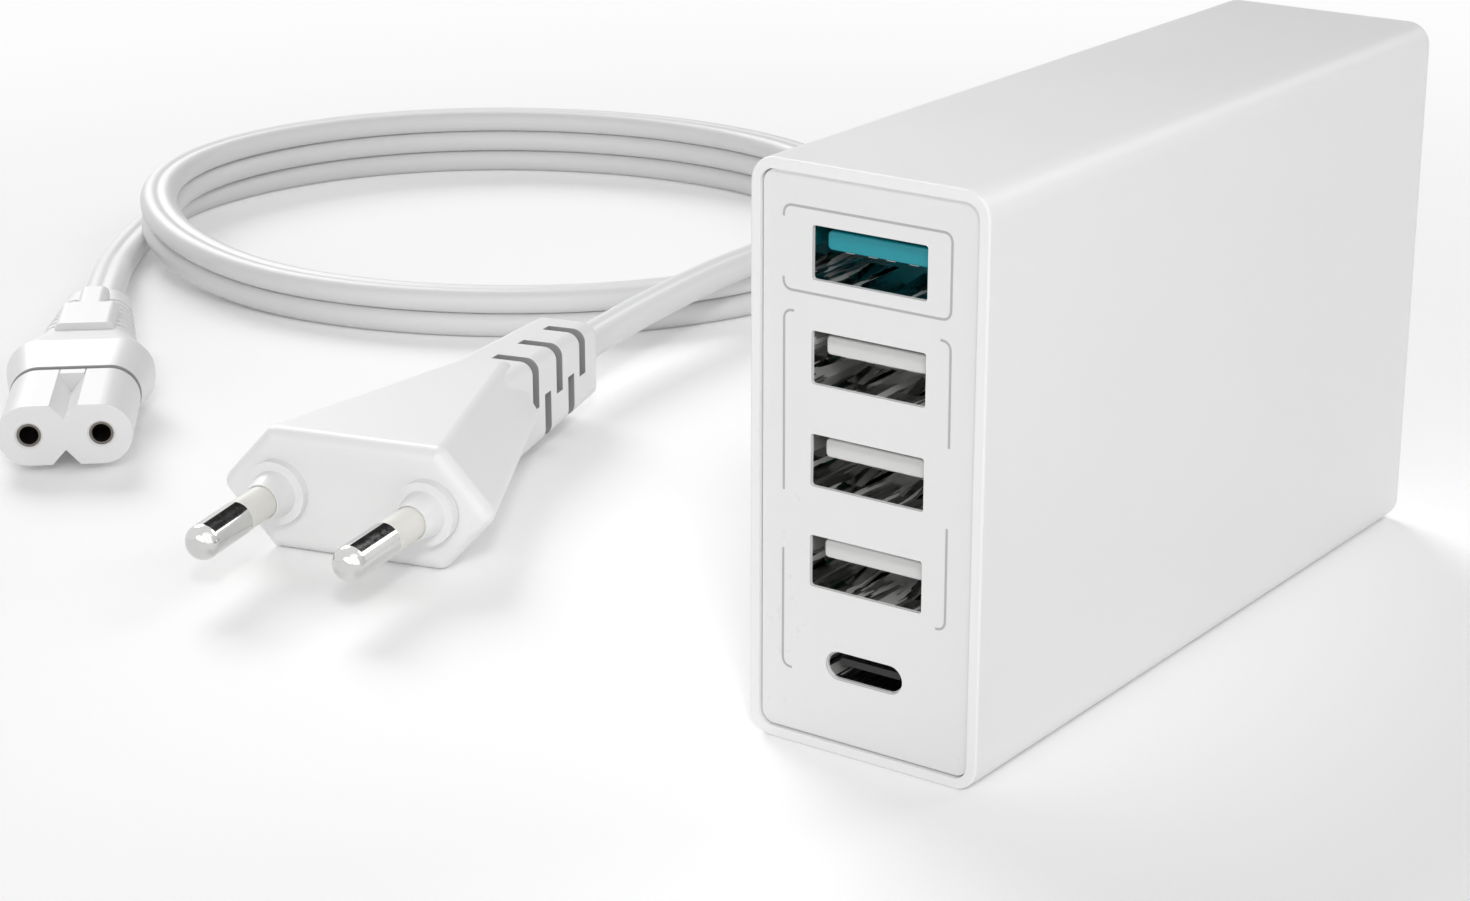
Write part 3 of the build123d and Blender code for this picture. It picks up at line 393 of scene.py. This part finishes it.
def smooth_line(route):
    """Points in mm along the NURBS spline that has the route as its control points."""
    curve = bpy.data.curves.new("cord_line", "CURVE")
    curve.dimensions = "3D"
    curve.resolution_u = 12
    spline = curve.splines.new("NURBS")
    spline.points.add(len(route) - 1)
    spline.points.foreach_set("co", np.column_stack([route, np.ones(len(route))]).ravel())
    spline.order_u = 3
    spline.use_endpoint_u = True
    holder = bpy.data.objects.new("cord_line", curve)
    mesh = bpy.data.meshes.new_from_object(holder)
    points = np.empty(3 * len(mesh.vertices))
    mesh.vertices.foreach_get("co", points)
    bpy.data.meshes.remove(mesh)
    bpy.data.objects.remove(holder)
    bpy.data.curves.remove(curve)
    return points.reshape(-1, 3)


def twin_section(steps=12):
    """Outline of a flat two-core cord: two half circles, and runs that dip a little between the cores."""
    radius = cord_thickness / 2
    shift = cord_width / 2 - radius
    arc = np.linspace(-pi / 2, pi / 2, steps)
    run = np.linspace(shift, -shift, 9)[1:-1]
    dip = 0.16 * np.exp(-((run / 0.5) ** 2))
    right = np.column_stack([shift + radius * np.cos(arc), radius * np.sin(arc)])
    top = np.column_stack([run, radius - dip])
    return np.vstack([right, top, -right, -top])


def cord_surface(line, section):
    """The section carried along the line, its width level and its height across the line."""
    ahead = np.gradient(line, axis=0)
    ahead /= np.linalg.norm(ahead, axis=1, keepdims=True)
    side = np.cross(ahead, (0, 0, 1))
    side /= np.linalg.norm(side, axis=1, keepdims=True)
    up = np.cross(side, ahead)
    wide = section[None, :, :1] * side[:, None, :]
    tall = section[None, :, 1:] * up[:, None, :]
    return line[:, None, :] + wide + tall


cord_line = smooth_line(cord_route)
cord = grid_piece("cord", cord_surface(cord_line, twin_section()), "sheath_white", cap_ends=True)
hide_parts("cord_loop", "cord_plug_end", "cord_connector_end")


# Printed lines on the front panel
panel_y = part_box("front_panel")[0].y / MM
line_width = 0.24
line_lift = 0.02


def soft_path(corners, radius, steps=10):
    """Path through the corners, each inner one replaced by a quadratic curve that starts this far from it."""
    corners = np.array(corners, float)
    at = corners[1:-1]
    before = corners[:-2] - at
    after = corners[2:] - at
    start = at + before * radius / np.linalg.norm(before, axis=1, keepdims=True)
    end = at + after * radius / np.linalg.norm(after, axis=1, keepdims=True)
    share = np.linspace(0, 1, steps)[None, :, None]
    rest = 1 - share
    curve = rest**2 * start[:, None] + 2 * share * rest * at[:, None] + share**2 * end[:, None]
    return np.vstack([corners[:1], curve.reshape(-1, 2), corners[-1:]])


def printed_line(name, corners):
    """Ribbon along a path on the panel: a low rectangle carried along it."""
    path = soft_path(corners, 1.0)
    ahead = np.gradient(path, axis=0)
    ahead /= np.linalg.norm(ahead, axis=1, keepdims=True)
    side = np.column_stack([-ahead[:, 1], ahead[:, 0]]) * line_width / 2
    front = panel_y - line_lift
    rail = np.stack([path - side, path + side, path + side, path - side], axis=1)
    depth = np.broadcast_to(np.array([panel_y, panel_y, front, front]), rail.shape[:2])
    points = np.stack([rail[..., 0], depth, rail[..., 1]], axis=-1)
    line = grid_piece(name, points, "print_grey", cap_ends=True)
    line.data.shade_flat()
    return line


printed_line("line_top_frame", [
    (-9.5, 52.5), (-9.5, 53.65), (8.85, 53.65), (8.85, 45.53), (-9.5, 45.53), (-9.5, 46.7),
])
printed_line("line_left_upper", [(-8.3, 43.55), (-9.42, 43.55), (-9.35, 25.7)])
printed_line("line_left_lower", [(-9.37, 19.8), (-9.37, 7.65), (-8.3, 7.65)])
printed_line("line_right_upper", [(7.8, 43.55), (8.9, 43.55), (8.95, 33.4)])
printed_line("line_right_lower", [(8.92, 25.6), (8.95, 15.5), (7.9, 15.5)])


# Floor, lamps and world, in metres
floor_middle = (-0.06, 0.02, 0.0)
floor_reach = 6.0
glow_start = 0.10
glow_end = 0.32
key_direction = Vector((0.5, -0.6, 0.62))
key_target = Vector((-0.006, -0.046, 0.038))
key_distance = 0.7


def seen_rays(graph):
    """1 for rays that come from the eye, a reflection or glass, and 0 for rays that carry light."""
    ray = graph.node("ShaderNodeLightPath", output="Is Camera Ray")
    return (ray + ray.other("Is Glossy Ray") + ray.other("Is Transmission Ray")) > 0.5


def studio_floor(near, far):
    """Wide white floor with a faint slow tone. To the eye it has a share of plain white that grows from near
    the object outwards, so that it shows shadows and ends in the white of the surroundings."""
    made, graph = finish_material("floor_white")
    tone = graph.blend(graph.noise(3.0), (0.96, 0.96, 0.96, 1), (0.98, 0.98, 0.98, 1))
    surface = graph.node("ShaderNodeBsdfPrincipled", None, {"Base Color": tone, "Roughness": 0.9})
    white = graph.node("ShaderNodeEmission", None, {"Color": (1, 1, 1, 1), "Strength": 1.0})
    inputs = {0: graph.places(), 1: floor_middle}
    away = graph.node("ShaderNodeVectorMath", {"operation": "DISTANCE"}, inputs, output="Value")
    spread = {"Value": away, "From Min": glow_start, "From Max": glow_end, "To Min": near, "To Max": far}
    glow = graph.node("ShaderNodeMapRange", {"interpolation_type": "SMOOTHSTEP"}, spread)
    mixed = graph.node("ShaderNodeMixShader", None, {0: glow * seen_rays(graph), 1: surface, 2: white})
    graph.node("ShaderNodeOutputMaterial", None, {"Surface": mixed})
    mesh = bpy.data.meshes.new("floor")
    low, high = -floor_reach, floor_reach
    mesh.from_pydata([(low, low, 0), (high, low, 0), (high, high, 0), (low, high, 0)], [], [(0, 1, 2, 3)])
    mesh.materials.append(made)
    floor = bpy.data.objects.new("floor", mesh)
    scene.collection.objects.link(floor)


def studio_world(strength):
    """Even white surroundings: this strong on the object, and plain white to the eye and in reflections."""
    world = bpy.data.worlds.new("studio")
    world.use_nodes = True
    scene.world = world
    graph = Graph(world.node_tree)
    level = strength + (1 - strength) * seen_rays(graph)
    light = graph.node("ShaderNodeBackground", None, {"Color": (1, 1, 1, 1), "Strength": level})
    graph.node("ShaderNodeOutputWorld", None, {"Surface": light})


def dark_card(centre, size):
    """Upright black card that faces the object. Only reflections see it: it gives bright metal dark edges."""
    made, graph = finish_material("card_black")
    tone = graph.blend(graph.noise(5.0), (0.004, 0.004, 0.004, 1), (0.008, 0.008, 0.008, 1))
    surface = graph.node("ShaderNodeBsdfPrincipled", None, {"Base Color": tone, "Roughness": 1.0})
    graph.node("ShaderNodeOutputMaterial", None, {"Surface": surface})
    middle = Vector(centre)
    across = Vector((-middle.y, middle.x, 0)).normalized() * size[0] / 2
    rise = Vector((0, 0, size[1] / 2))
    mesh = bpy.data.meshes.new("card")
    left, right = middle - across, middle + across
    mesh.from_pydata([left - rise, right - rise, right + rise, left + rise], [], [(0, 1, 2, 3)])
    mesh.materials.append(made)
    card = bpy.data.objects.new("card", mesh)
    card.visible_camera = False
    card.visible_diffuse = False
    card.visible_shadow = False
    card.visible_transmission = False
    scene.collection.objects.link(card)


def lamp(name, kind, towards, energy, **settings):
    """Lamp that shines from this direction."""
    data = bpy.data.lights.new(name, kind)
    data.energy = energy
    for setting, value in settings.items():
        setattr(data, setting, value)
    made = bpy.data.objects.new(name, data)
    made.rotation_euler = Vector(towards).to_track_quat("Z", "Y").to_euler()
    scene.collection.objects.link(made)
    return made


studio_floor(0.12, 0.85)
studio_world(0.34)
dark_card((-0.33, 0.87, 0.40), (1.0, 0.64))
lamp("left", "SUN", (-0.70, 0.42, 0.57), 1.65, angle=radians(30))
lamp("back", "SUN", (0.31, 0.77, 0.53), 0.42, angle=radians(30))
lamp("right", "SUN", (0.80, -0.35, 0.48), 0.66, angle=radians(80))
lamp("front", "SUN", (0.15, -0.95, 0.27), 0.56, angle=radians(40))
key = lamp("key", "SPOT", key_direction, 6.6, spot_size=radians(17), spot_blend=1.0, shadow_soft_size=0.06)
key.location = key_target + key_distance * key_direction
